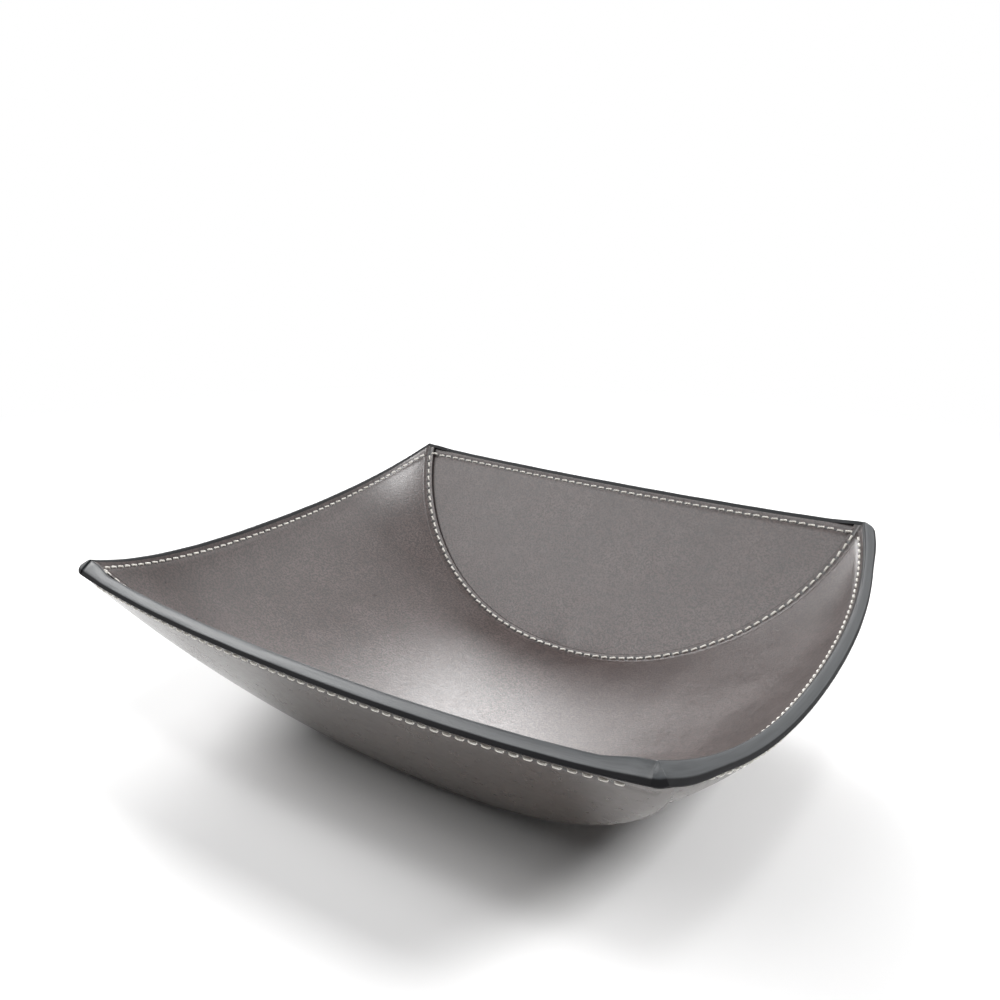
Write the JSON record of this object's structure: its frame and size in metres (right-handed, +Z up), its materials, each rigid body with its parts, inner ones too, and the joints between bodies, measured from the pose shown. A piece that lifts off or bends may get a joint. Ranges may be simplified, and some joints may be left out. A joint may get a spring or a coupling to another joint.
{
  "type": "valet tray",
  "caption": "Stitched leather valet tray: a curved main panel lapped to two swelling end panels, with bowed rims, for keys, coins and other pocket things.",
  "frame": {"origin": "on the table, under the middle of the tray", "axes": "+X to the right along the main panel, +Y to the rear, +Z up"},
  "size_m": [0.2174, 0.1988, 0.064],
  "materials": {
    "lining_leather": "satin, fine grain",
    "cover_leather": "satin, fine grain",
    "stiffener_board": "bonded leather board",
    "edge_coat": "burnished edge coat",
    "thread": "waxed thread"
  },
  "bodies": {
    "root": {"main_lining": "lining_leather", "front_lining": "lining_leather", "rear_lining": "lining_leather", "main_cover": "cover_leather", "front_cover": "cover_leather", "rear_cover": "cover_leather", "main_stiffener": "stiffener_board", "front_stiffener": "stiffener_board", "rear_stiffener": "stiffener_board", "left_rim_coat": "edge_coat", "right_rim_coat": "edge_coat", "front_rim_coat": "edge_coat", "rear_rim_coat": "edge_coat", "left_rim_stitches": "thread", "right_rim_stitches": "thread", "front_rim_stitches": "thread", "rear_rim_stitches": "thread", "left_rim_under_stitches": "thread", "right_rim_under_stitches": "thread", "front_rim_under_stitches": "thread", "rear_rim_under_stitches": "thread", "front_seam_stitches": "thread", "rear_seam_stitches": "thread", "front_seam_under_stitches": "thread", "rear_seam_under_stitches": "thread"}
  },
  "joints": []
}
